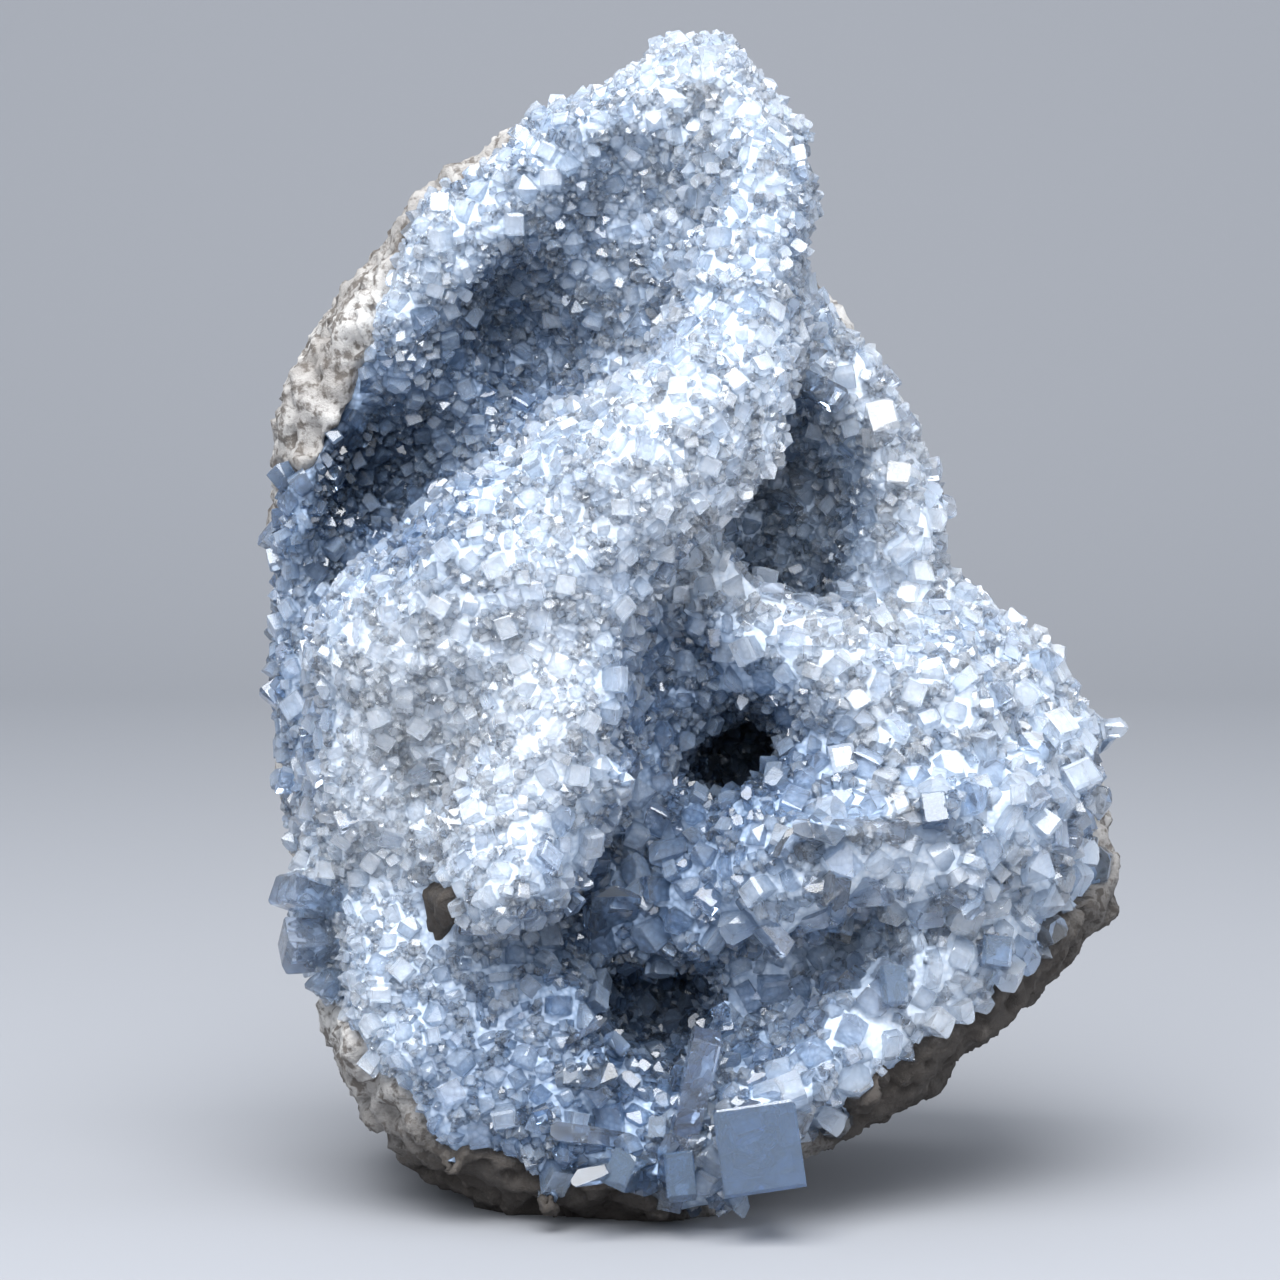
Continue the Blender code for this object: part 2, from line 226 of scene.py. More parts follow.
@dataclass(frozen=True)
class DruseBedFinish:
    """Massive celestite under the crystals, grown as a sugary mass: milky and matt, with painted shade in its
    seams.
    """

    name: str = "celestite_sugary_bed"
    grain_mm: float = 1.1
    seam_mm: float = 0.4
    roughness: float = 0.55
    index: float = 1.62

    def build(self) -> bpy.types.Material:
        """Makes the material.

        Returns:
            The material.
        """
        material, tree = new_material(self.name)
        place = add_node(tree, "ShaderNodeTexCoord", {}, {})
        tint = add_node(tree, "ShaderNodeAttribute", {"attribute_name": "tint"}, {})
        grains = add_node(
            tree,
            "ShaderNodeTexVoronoi",
            {"Scale": 1 / (self.grain_mm * MM), "feature": "F1"},
            {"Vector": place.outputs["Object"]},
        )
        # Painted shade: the tint darkens towards the seams between grains and lightens at their middles.
        shade = add_node(
            tree,
            "ShaderNodeMapRange",
            {"From Min": 0.0, "From Max": 0.7, "To Min": 0.12, "To Max": -0.14},
            {"Value": grains.outputs["Distance"]},
        )
        mixed = add_node(
            tree,
            "ShaderNodeMath",
            {"operation": "ADD", "use_clamp": True},
            {0: tint.outputs["Fac"], 1: shade.outputs["Result"]},
        )
        colour = add_node(
            tree,
            "ShaderNodeValToRGB",
            {"stops": ((0.0, "#3A4A5F"), (0.3, "#92A7C2"), (0.6, "#CCD9E8"), (1.0, "#F7FAFE"))},
            {"Fac": mixed.outputs[0]},
        )
        relief = add_node(
            tree,
            "ShaderNodeBump",
            {"Strength": 0.6, "Distance": self.seam_mm * MM, "invert": True},
            {"Height": grains.outputs["Distance"]},
        )
        skin = add_node(
            tree,
            "ShaderNodeBsdfPrincipled",
            {"Roughness": self.roughness, "IOR": self.index},
            {"Base Color": colour.outputs["Color"], "Normal": relief.outputs["Normal"]},
        )
        add_node(tree, "ShaderNodeOutputMaterial", {}, {"Surface": skin.outputs["BSDF"]})
        return material


@dataclass(frozen=True)
class LimestoneRindFinish:
    """Marly limestone, broken and weathered: matt beige grey with dark pits and brown iron stains."""

    name: str = "limestone_weathered_rind"
    pit_mm: float = 2.2
    cloud_mm: float = 14.0
    grit_mm: float = 0.5
    relief_mm: float = 0.5
    roughness: float = 0.92

    def build(self) -> bpy.types.Material:
        """Makes the material.

        Returns:
            The material.
        """
        material, tree = new_material(self.name)
        place = add_node(tree, "ShaderNodeTexCoord", {}, {})
        stain = add_node(tree, "ShaderNodeAttribute", {"attribute_name": "tint"}, {})
        clouds = add_node(
            tree,
            "ShaderNodeTexNoise",
            {"Scale": 1 / (self.cloud_mm * MM), "Detail": 6.0, "Roughness": 0.62},
            {"Vector": place.outputs["Object"]},
        )
        base = add_node(
            tree,
            "ShaderNodeValToRGB",
            {"stops": ((0.3, "#85817D"), (0.48, "#A8A5A2"), (0.62, "#C4C2BF"), (0.8, "#D8D6D4"))},
            {"Fac": clouds.outputs["Fac"]},
        )
        pits = add_node(
            tree,
            "ShaderNodeTexNoise",
            {"Scale": 1 / (self.pit_mm * MM), "Detail": 4.0, "Roughness": 0.6},
            {"Vector": place.outputs["Object"]},
        )
        depth = add_node(
            tree,
            "ShaderNodeMapRange",
            {"From Min": 0.4, "From Max": 0.52, "To Min": 0.85, "To Max": 0.0},
            {"Value": pits.outputs["Fac"]},
        )
        pitted = add_node(
            tree,
            "ShaderNodeMix",
            {"data_type": "RGBA", 7: linear("#57504A")},
            {0: depth.outputs["Result"], 6: base.outputs["Color"]},
        )
        patches = add_node(
            tree,
            "ShaderNodeMath",
            {"operation": "MULTIPLY", "use_clamp": True},
            {0: stain.outputs["Fac"], 1: pits.outputs["Fac"]},
        )
        strength = add_node(
            tree,
            "ShaderNodeMapRange",
            {"From Min": 0.15, "From Max": 0.38, "To Min": 0.0, "To Max": 0.95},
            {"Value": patches.outputs[0]},
        )
        stained = add_node(
            tree,
            "ShaderNodeMix",
            {"data_type": "RGBA", 7: linear("#3F3A36")},
            {0: strength.outputs["Result"], 6: pitted.outputs[2]},
        )
        grit = add_node(
            tree,
            "ShaderNodeTexNoise",
            {"Scale": 1 / (self.grit_mm * MM), "Detail": 4.0, "Roughness": 0.7},
            {"Vector": place.outputs["Object"]},
        )
        rough = add_node(
            tree, "ShaderNodeMath", {"operation": "ADD"}, {0: grit.outputs["Fac"], 1: pits.outputs["Fac"]}
        )
        relief = add_node(
            tree,
            "ShaderNodeBump",
            {"Strength": 0.8, "Distance": self.relief_mm * MM},
            {"Height": rough.outputs[0]},
        )
        skin = add_node(
            tree,
            "ShaderNodeBsdfPrincipled",
            {"Roughness": self.roughness, "Specular IOR Level": 0.3},
            {"Base Color": stained.outputs[2], "Normal": relief.outputs["Normal"]},
        )
        add_node(tree, "ShaderNodeOutputMaterial", {}, {"Surface": skin.outputs["BSDF"]})
        return material


@dataclass(frozen=True)
class FloorFinish:
    """Pale matt paper sweep: an even, light ground with a faint fibre."""

    name: str = "paper_matt_sweep"
    colour: str = "#909297"
    fibre_mm: float = 3.0
    relief_mm: float = 0.1

    def build(self) -> bpy.types.Material:
        """Makes the material.

        Returns:
            The material.
        """
        material, tree = new_material(self.name)
        place = add_node(tree, "ShaderNodeTexCoord", {}, {})
        fibre = add_node(
            tree,
            "ShaderNodeTexNoise",
            {"Scale": 1 / (self.fibre_mm * MM), "Detail": 3.0},
            {"Vector": place.outputs["Object"]},
        )
        relief = add_node(
            tree,
            "ShaderNodeBump",
            {"Strength": 0.05, "Distance": self.relief_mm * MM},
            {"Height": fibre.outputs["Fac"]},
        )
        skin = add_node(
            tree,
            "ShaderNodeBsdfPrincipled",
            {"Base Color": linear(self.colour), "Roughness": 0.85},
            {"Normal": relief.outputs["Normal"]},
        )
        add_node(tree, "ShaderNodeOutputMaterial", {}, {"Surface": skin.outputs["BSDF"]})
        return material


@dataclass(frozen=True)
class Zone:
    """A part of the druse, as seen from the front, and how its crystals look.

    The place and the reach are in millimetres in the source's frame. Size is a crystal's usual width in
    millimetres, white runs from 0, slate blue, to 1, white, and clear is the share of clear crystals. White
    is partly the stone's own tone and partly painted light and shade: it is low in the deep hollows as
    painted shade, and a little past 1 where the place is dark, as painted light.
    """

    piece: str
    x: float
    z: float
    reach: float
    size: float
    white: float
    clear: float


# The whiteness of each zone is partly painted shade, low in the dark hollows, and partly painted light, past
# 1 on dark places.
ZONES = (
    Zone("peak_druse", 17, 184, 12, 1.7, 0.86, 0.15),
    Zone("peak_druse", 12, 168, 14, 1.9, 0.76, 0.2),
    Zone("peak_druse", -17, 160, 14, 2.0, 0.72, 0.2),
    Zone("peak_druse", -30, 152, 10, 1.8, 0.9, 0.1),
    Zone("upper_hollow_druse", 8, 152, 13, 2.2, 0.66, 0.3),
    Zone("upper_hollow_druse", -22, 136, 15, 2.2, 0.55, 0.3),
    Zone("upper_hollow_druse", -36, 116, 12, 2.3, 0.15, 0.3),
    Zone("peak_druse", 31, 152, 12, 1.7, 0.74, 0.15),
    Zone("ridge_druse", 22, 134, 13, 1.9, 0.8, 0.15),
    Zone("ridge_druse", 4, 120, 14, 1.8, 0.88, 0.1),
    Zone("ridge_druse", -14, 106, 14, 1.9, 0.8, 0.15),
    Zone("ridge_druse", -33, 97, 12, 1.8, 0.96, 0.15),
    Zone("left_lobe_druse", -37, 76, 13, 1.7, 1.05, 0.1),
    Zone("left_lobe_druse", -52, 76, 10, 2.6, 0.4, 0.5),
    Zone("left_lobe_druse", -52, 100, 10, 2.0, 0.5, 0.3),
    Zone("tongue_druse", -13, 86, 12, 1.9, 0.94, 0.15),
    Zone("tongue_druse", -14, 62, 12, 2.1, 0.86, 0.25),
    Zone("right_wall_druse", 46, 128, 14, 2.4, 0.95, 0.3),
    Zone("right_wall_druse", 32, 104, 13, 2.5, 1.1, 0.3),
    Zone("right_wall_druse", 56, 96, 14, 2.1, 0.84, 0.2),
    Zone("right_wall_druse", 74, 84, 14, 2.2, 0.82, 0.25),
    Zone("right_wall_druse", 18, 84, 12, 2.4, 0.42, 0.35),
    Zone("ledge_druse", 26, 66, 12, 2.6, 0.52, 0.4),
    Zone("ledge_druse", 42, 56, 14, 3.2, 0.82, 0.5),
    Zone("ledge_druse", 70, 60, 15, 3.4, 0.72, 0.5),
    Zone("ledge_druse", 60, 42, 14, 3.2, 0.85, 0.45),
    Zone("foot_druse", 4, 46, 12, 3.0, 0.4, 0.5),
    Zone("foot_druse", 24, 22, 15, 3.0, 0.68, 0.5),
    Zone("foot_druse", 4, 14, 12, 2.6, 0.34, 0.5),
    Zone("foot_druse", -16, 26, 13, 2.1, 0.52, 0.3),
    Zone("left_lobe_druse", -38, 36, 13, 1.7, 0.78, 0.1),
)


@dataclass(frozen=True)
class BareSpot:
    """A place on the front where the rock shows through the druse.

    Places and half widths are in millimetres in the source's frame. Stain runs from 0, clean, to 1, brown.
    """

    x: float
    z: float
    wide: float
    high: float
    stain: float


BARE_SPOTS = (
    BareSpot(-40.5, 153.0, 4.5, 7.0, 0.1),
    BareSpot(-44.0, 143.0, 6.0, 9.0, 0.1),
    BareSpot(-47.0, 133.0, 6.5, 9.0, 0.1),
    BareSpot(-51.5, 126.0, 6.0, 6.5, 0.1),
    BareSpot(-25.5, 50.5, 3.2, 5.5, 0.95),
    BareSpot(50.0, 18.0, 10.0, 6.0, 0.9),
    BareSpot(61.0, 24.5, 10.0, 6.5, 0.9),
    BareSpot(71.0, 31.0, 8.0, 7.0, 0.85),
    BareSpot(78.5, 40.0, 5.0, 8.0, 0.7),
    BareSpot(-2.0, 2.0, 14.0, 6.0, 1.0),
    BareSpot(-22.0, 6.0, 11.0, 7.0, 0.9),
    BareSpot(-36.0, 14.0, 8.5, 8.5, 0.5),
    BareSpot(-44.0, 24.0, 6.0, 9.0, 0.1),
)


@dataclass(frozen=True)
class SingleCrystal:
    """A crystal that the eye picks out. Places and sizes are in millimetres in the source's frame."""

    x: float
    z: float
    axis: tuple[float, float, float]
    width: float
    depth: float
    height: float
    turn: float
    habit: Habit
    white: float
    finish: Finish = Finish.CLEAR


SINGLE_CRYSTALS = (
    SingleCrystal(25.0, 15.5, (0.05, -1.0, 0.02), 14.0, 14, 7, 98, Habit.SQUARE, 0.2, Finish.BLUE),
    SingleCrystal(13.5, 14.5, (0.22, -0.12, 1.0), 7.5, 5, 18, 0, Habit.SQUARE, 0.6),
    SingleCrystal(12.5, 9.5, (0.1, -1.0, 0.15), 8, 6, 6, 95, Habit.BLOCK, 0.1, Finish.BLUE),
    SingleCrystal(5.0, 10.5, (-0.3, -0.8, 0.2), 6, 5, 5, 70, Habit.BLOCK, 0.3, Finish.BLUE),
    SingleCrystal(2.0, 14.5, (-0.8, -0.6, 0.25), 4.5, 4, 12, 15, Habit.WEDGE, 0.7),
    SingleCrystal(4.0, 11.0, (-0.9, -0.6, -0.1), 4, 4, 10, 40, Habit.WEDGE, 0.6),
    SingleCrystal(-4.0, 30.0, (0.7, -0.6, 0.5), 5, 2.5, 9, 10, Habit.TABLET, 0.6),
    SingleCrystal(-4.0, 25.0, (0.9, -0.5, 0.0), 5, 3, 8, 50, Habit.TABLET, 0.5),
    SingleCrystal(-8.0, 7.0, (0.1, -0.8, -0.7), 4, 3, 6, 0, Habit.WEDGE, 0.5, Finish.CLOUDY),
    SingleCrystal(48.0, 63.0, (-1.0, -0.45, 0.1), 4.5, 4, 19, 25, Habit.WEDGE, 0.85),
    SingleCrystal(32.0, 61.0, (-0.5, -0.9, 0.3), 6, 4, 7, 60, Habit.TABLET, 0.7),
    SingleCrystal(2.5, 48.5, (0.1, -0.8, 0.8), 8.5, 3.5, 8, 0, Habit.TABLET, 0.5),
    SingleCrystal(-45.0, 50.0, (-0.9, -0.4, 0.4), 8, 7, 8, 10, Habit.BLOCK, 0.6),
    SingleCrystal(-44.5, 43.0, (-1.0, -0.3, 0.0), 8, 7, 7, 45, Habit.BLOCK, 0.7),
    SingleCrystal(-42.0, 37.0, (-0.8, -0.6, -0.3), 6, 6, 6, 80, Habit.WEDGE, 0.5),
    SingleCrystal(29.0, 114.0, (0.8, -0.6, -0.1), 4, 4, 7, 20, Habit.POINT, 0.7),
    SingleCrystal(34.0, 134.0, (0.9, -0.4, -0.5), 4, 4, 7, 60, Habit.BLOCK, 0.6),
    SingleCrystal(46.0, 127.0, (0.1, -1.0, 0.5), 5.5, 5, 4.5, 100, Habit.BLOCK, 1.0, Finish.CLOUDY),
    SingleCrystal(48.5, 118.0, (0.2, -1.0, 0.4), 4, 4, 4, 80, Habit.BLOCK, 0.9, Finish.CLOUDY),
    SingleCrystal(69.0, 66.5, (0.2, -0.8, 0.7), 5, 4.5, 3.5, 30, Habit.BLOCK, 0.9),
    SingleCrystal(75.0, 58.0, (0.3, -0.8, 0.3), 5, 5, 3, 50, Habit.BLOCK, 0.7),
    SingleCrystal(46.7, 37.0, (0.1, -0.9, 0.3), 6.5, 5, 6, 92, Habit.BLOCK, 0.45, Finish.BLUE),
    SingleCrystal(64.0, 42.0, (0.0, -0.9, 0.3), 5, 5, 5, 85, Habit.BLOCK, 0.5, Finish.BLUE),
    SingleCrystal(53.0, 66.0, (0.1, -0.9, 0.4), 5, 5, 5, 96, Habit.BLOCK, 0.4, Finish.BLUE),
    SingleCrystal(38.0, 52.0, (0.1, -0.9, 0.6), 7, 4, 8, 85, Habit.WEDGE, 0.6),
    SingleCrystal(15.8, 178.0, (0.4, -0.7, 0.7), 2.4, 2.2, 6, 20, Habit.WEDGE, 1.0),
)


@dataclass
class Skin:
    """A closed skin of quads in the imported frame, in metres, with a value or two at each vertex."""

    points: np.ndarray
    normals: np.ndarray
    quads: np.ndarray
    crust: np.ndarray = field(default_factory=lambda: np.zeros(0))
    openness: np.ndarray = field(default_factory=lambda: np.zeros(0))


def mesh_piece(
    name: str, points: np.ndarray, faces: np.ndarray, materials: list[bpy.types.Material]
) -> bpy.types.Object:
    """Makes an object from arrays.

    Args:
        name: the piece's name.
        points: one row for each vertex, in metres.
        faces: one row of vertex numbers for each face, all of one length.
        materials: its material slots.

    Returns:
        The object.
    """
    mesh = bpy.data.meshes.new(name)
    mesh.vertices.add(len(points))
    mesh.vertices.foreach_set("co", points.astype(np.float32).ravel())
    mesh.loops.add(faces.size)
    mesh.loops.foreach_set("vertex_index", faces.astype(np.int32).ravel())
    mesh.polygons.add(len(faces))
    mesh.polygons.foreach_set("loop_start", np.arange(0, faces.size, faces.shape[1], dtype=np.int32))
    mesh.update(calc_edges=True)
    for material in materials:
        mesh.materials.append(material)
    piece = bpy.data.objects.new(name, mesh)
    bpy.context.scene.collection.objects.link(piece)
    return piece


def set_tint(piece: bpy.types.Object, values: np.ndarray) -> None:
    """Stores a number from 0 to 1 at each vertex, which the material reads as its tint."""
    layer = piece.data.attributes.new("tint", "FLOAT", "POINT")
    layer.data.foreach_set("value", values.astype(np.float32))


@dataclass
class Stone:
    """The whole stone's skin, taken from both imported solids, and the two bodies under the crystals.

    Sizes are in millimetres. A bare spot reaches no further back than bare_back. The druse runs over the top
    of the peak from druse_top up, as far back as peak_back. Rock that is more than bare_below under the crust
    stays plain, and what is more than kept_below under it is left out, because nothing shows it.
    """

    rind_step: float = 0.95
    bed_step: float = 1.9
    rounds: int = 6
    more_rounds: int = 4
    lump_mm: float = 7.0
    lump_height: float = 1.5
    grit_mm: float = 2.0
    grit_height: float = 1.0
    pit_mm: float = 3.2
    pit_depth: float = 1.9
    rind_under_crust: float = 5.0
    bed_under_rind: float = 3.0
    bed_inset: float = 0.6
    bed_foot: float = 0.8
    clump_mm: float = 7.0
    clump_height: float = 1.3
    foot_height: float = 0.6
    bare_back: float = 10.0
    druse_top: float = 178.0
    peak_back: float = 20.0
    bare_below: float = 0.99
    kept_below: float = 0.995
    stain_reach: float = 10.0
    stain_depth: float = 30.0
    plain_stain: float = 0.1
    source: bpy.types.Object | None = None

    def gather(self) -> None:
        """Joins copies of both solids in one mesh."""
        bm = bmesh.new()
        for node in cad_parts.values():
            bm.from_mesh(node.data)
        mesh = bpy.data.meshes.new("both_solids")
        bm.to_mesh(mesh)
        bm.free()
        self.source = bpy.data.objects.new("both_solids", mesh)
        bpy.context.scene.collection.objects.link(self.source)

    def skin(self, step: float, rounds: int) -> Skin:
        """Wraps the two solids in one skin.

        Args:
            step: the width of its quads in millimetres.
            rounds: how often it is smoothed.

        Returns:
            The largest closed skin, with each vertex marked 1 on the crust and 0 on the rock.
        """
        wrap = self.source.modifiers.new("wrap", "REMESH")
        wrap.mode = "VOXEL"
        wrap.voxel_size = step * MM
        wear = self.source.modifiers.new("wear", "SMOOTH")
        wear.factor = 0.5
        wear.iterations = rounds
        bpy.context.view_layer.update()
        graph = bpy.context.evaluated_depsgraph_get()
        mesh = bpy.data.meshes.new_from_object(self.source.evaluated_get(graph))
        self.source.modifiers.clear()
        count = len(mesh.vertices)
        points = np.empty(count * 3)
        mesh.vertices.foreach_get("co", points)
        quads = np.empty(len(mesh.polygons) * 4, np.int64)
        mesh.polygons.foreach_get("vertices", quads)
        points, quads = points.reshape(-1, 3), quads.reshape(-1, 4)
        bpy.data.meshes.remove(mesh)
        points, quads = self.largest(points, quads)
        normals = self.vertex_normals(points, quads)
        return Skin(points, normals, quads, self.on_crust(points))

    @staticmethod
    def largest(points: np.ndarray, quads: np.ndarray) -> tuple[np.ndarray, np.ndarray]:
        """Keeps the largest of the separate skins.

        Args:
            points: all vertices.
            quads: all faces.

        Returns:
            The vertices and the faces that are kept.
        """
        label = np.arange(len(points))
        while True:
            least = label[quads].min(axis=1)
            new = label.copy()
            for corner in range(4):
                np.minimum.at(new, quads[:, corner], least)
            new = new[new]
            if (new == label).all():
                break
            label = new
        names, counts = np.unique(label, return_counts=True)
        keep = label == names[counts.argmax()]
        number = np.cumsum(keep) - 1
        return points[keep], number[quads[keep[quads[:, 0]]]]

    @staticmethod
    def vertex_normals(points: np.ndarray, quads: np.ndarray) -> np.ndarray:
        """Works out the outward normals.

        Args:
            points: the vertices.
            quads: the faces.

        Returns:
            The normal at each vertex, from the faces round it.
        """
        corners = points[quads]
        across = np.cross(corners[:, 2] - corners[:, 0], corners[:, 3] - corners[:, 1])
        total = np.zeros_like(points)
        for corner in range(4):
            np.add.at(total, quads[:, corner], across)
        return total / np.maximum(np.linalg.norm(total, axis=1, keepdims=True), 1e-12)

    def on_crust(self, points: np.ndarray) -> np.ndarray:
        """Parts the crust from the bare rock.

        Args:
            points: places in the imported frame, in metres.

        Returns:
            1 for each point that lies nearer to the crust than to the rock and on no bare spot, else 0.
        """
        trees = {}
        for name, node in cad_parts.items():
            corners = [v.co.copy() for v in node.data.vertices]
            trees[name] = BVHTree.FromPolygons(corners, [p.vertices for p in node.data.polygons])
        crust, rock = trees["crystal_crust"], trees["rock_shell"]
        marks = np.zeros(len(points))
        for i, point in enumerate(points):
            spot = Vector(point)
            marks[i] = crust.find_nearest(spot)[3] < rock.find_nearest(spot)[3]
        x, z = points[:, 0] / MM - SHIFT.x, points[:, 2] / MM - SHIFT.z
        for bare in BARE_SPOTS:
            inside = ((x - bare.x) / bare.wide) ** 2 + ((z - bare.z) / bare.high) ** 2 < 1
            marks[inside & (points[:, 1] < self.bare_back * MM)] = 0
        marks[(z > self.druse_top) & (points[:, 1] < self.peak_back * MM)] = 1
        return marks

    @staticmethod
    def blurred(values: np.ndarray, quads: np.ndarray, rounds: int) -> np.ndarray:
        """Spreads a value at each vertex over its neighbours.

        Args:
            values: one row or number for each vertex.
            quads: the faces.
            rounds: how far it spreads, in steps.

        Returns:
            The spread values.
        """
        count = np.zeros(len(values))
        for corner in range(4):
            np.add.at(count, quads[:, corner], 1)
        shape = (-1,) + (1,) * (values.ndim - 1)
        for _ in range(rounds):
            mean = values[quads].mean(axis=1)
            total = np.zeros_like(values)
            for corner in range(4):
                np.add.at(total, quads[:, corner], mean)
            values = total / count.reshape(shape)
        return values

    @staticmethod
    def noise_at(points: np.ndarray, scale: float) -> np.ndarray:
        """Returns smooth noise at each point, with swells about as wide as the scale in millimetres."""
        return np.array([noise.noise(Vector(point) / (scale * MM)) for point in points])

    def roughness_at(self, spot: Vector) -> float:
        """Shapes the weathered rock.

        Args:
            spot: a place in millimetres.

        Returns:
            How far the rock stands out there, in millimetres.
        """
        lump = noise.noise(spot / self.lump_mm) + 0.5 * noise.noise(spot / (0.45 * self.lump_mm))
        grit = noise.turbulence(spot / self.grit_mm, 2, True)
        pit = max(noise.noise(spot / self.pit_mm + Vector((40, 0, 0))) - 0.12, 0)
        return self.lump_height * lump + self.grit_height * (grit - 0.5) - self.pit_depth * min(4 * pit, 1)

    def stain_at(self, spot: Vector) -> float:
        """Blends the stains of the bare spots.

        Args:
            spot: a place in millimetres.

        Returns:
            How brown the rock is there, from 0 to 1.
        """
        share = 0.05
        total = self.plain_stain * share
        for bare in BARE_SPOTS:
            far = (spot.x - SHIFT.x - bare.x) ** 2 + (spot.z - SHIFT.z - bare.z) ** 2
            front = min(max((self.stain_depth - spot.y) / self.stain_depth, 0), 1)
            weight = math.exp(-far / self.stain_reach**2) * front
            total += weight * bare.stain
            share += weight
        return total / share

    def rind(self, finish: LimestoneRindFinish) -> bpy.types.Object:
        """Makes the rock: lumps, knobs and pits on the bare rind, and a plain core under the crust.

        Args:
            finish: the rind's material.

        Returns:
            The piece.
        """
        skin = self.skin(self.rind_step, self.rounds)
        crust = self.blurred(skin.crust, skin.quads, 2)
        heights = np.zeros(len(skin.points))
        stain = np.empty(len(skin.points))
        for i, point in enumerate(skin.points):
            spot = Vector(point) / MM
            if crust[i] < self.bare_below:
                heights[i] = self.roughness_at(spot)
            stain[i] = self.stain_at(spot)
        bare = 1 - crust
        move = heights * bare - self.rind_under_crust * crust
        points = skin.points + skin.normals * (move * MM)[:, None]
        points[:, 2] = np.maximum(points[:, 2], 0)
        flat = skin.points[:, 2] < self.foot_height * MM
        points[flat] = skin.points[flat]
        points[flat, 2] = 0
        quads = skin.quads[(crust[skin.quads] < self.kept_below).any(axis=1)]
        used, quads = np.unique(quads, return_inverse=True)
        points, stain, quads = points[used], stain[used], quads.reshape(-1, 4)
        piece = mesh_piece("rind", points, quads, [finish.build()])
        set_tint(piece, stain)
        return piece

    def bed(self, zones: "ZoneMap", finish: DruseBedFinish) -> tuple[bpy.types.Object, Skin]:
        """Makes the body from which the crystals grow, below the crust's own skin.

        Args:
            zones: the look of each part of the crust.
            finish: the bed's material.

        Returns:
            The piece, and its skin with the openness at each vertex.
        """
        skin = self.skin(self.bed_step, self.rounds + self.more_rounds)
        crust = self.blurred(skin.crust, skin.quads, 1)
        size, white, _, _ = zones.at(skin.points)
        lumps = self.noise_at(skin.points, self.clump_mm)
        lumps += 0.5 * self.noise_at(skin.points, 0.4 * self.clump_mm)
        inset = np.where(crust > 0.5, self.bed_inset * size - self.clump_height * lumps, self.bed_under_rind)
        inset = self.blurred(inset, skin.quads, 1)
        points = skin.points - skin.normals * (inset * MM)[:, None]
        points[:, 2] = np.maximum(points[:, 2], self.bed_foot * MM)
        piece = mesh_piece("druse_bed", points, skin.quads, [finish.build()])
        piece.data.shade_smooth()
        normals = self.blurred(self.vertex_normals(points, skin.quads), skin.quads, 2)
        normals /= np.linalg.norm(normals, axis=1, keepdims=True)
        bed = Skin(points, normals, skin.quads, skin.crust)
        bed.openness = Openness().at(bed)
        # Painted shade: the bed's tint darkens in the hollows, by how little sky each vertex sees.
        set_tint(piece, np.clip(white * (0.45 + 0.5 * bed.openness), 0, 1))
        return piece, bed


@dataclass
class ZoneMap:
    """Blends the zones into values at any place of the druse."""

    zones: tuple[Zone, ...] = ZONES

    def at(self, points: np.ndarray) -> tuple[np.ndarray, np.ndarray, np.ndarray, np.ndarray]:
        """Reads the zones.

        Args:
            points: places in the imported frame, in metres.

        Returns:
            At each place the crystals' size in millimetres, whiteness, share of clear ones, and the
            number of the nearest zone.
        """
        x = points[:, 0] / MM - SHIFT.x
        z = points[:, 2] / MM - SHIFT.z
        weights = np.stack(
            [np.exp(-((x - zone.x) ** 2 + (z - zone.z) ** 2) / zone.reach**2) + 1e-9 for zone in self.zones]
        )
        total = weights.sum(axis=0)
        size, white, clear = (
            (weights * np.array(values)[:, None]).sum(axis=0) / total
            for values in zip(*((zone.size, zone.white, zone.clear) for zone in self.zones))
        )
        return size, white, clear, weights.argmax(axis=0)


# Openness darkens the tints of the bed and of the crystals in the hollows, as painted shade, and narrows the
# crystals there.
@dataclass
class Openness:
    """How much of the sky each spot sees: 1 on a ridge, near 0 deep in a hollow."""

    reach: float = 55.0
    rays: int = 20

    def at(self, skin: Skin) -> np.ndarray:
        """Casts rays from each vertex.

        Args:
            skin: the skin that they leave and may hit.

        Returns:
            The share of rays that get away, at each vertex.
        """
        tree = BVHTree.FromPolygons(
            [Vector(p) for p in skin.points], [tuple(int(i) for i in quad) for quad in skin.quads]
        )
        chance = np.random.default_rng(SEED)
        ways = chance.normal(size=(self.rays, 3))
        ways /= np.linalg.norm(ways, axis=1, keepdims=True)
        share = np.zeros(len(skin.points))
        for i in np.flatnonzero(skin.crust > 0.5):
            normal = skin.normals[i]
            start = Vector(skin.points[i] + normal * 0.5 * MM)
            free = 0
            for way in ways:
                lobe = way + normal * 1.02
                free += tree.ray_cast(start, Vector(lobe).normalized(), self.reach * MM)[0] is None
            share[i] = free / self.rays
        return Stone.blurred(share, skin.quads, 3)


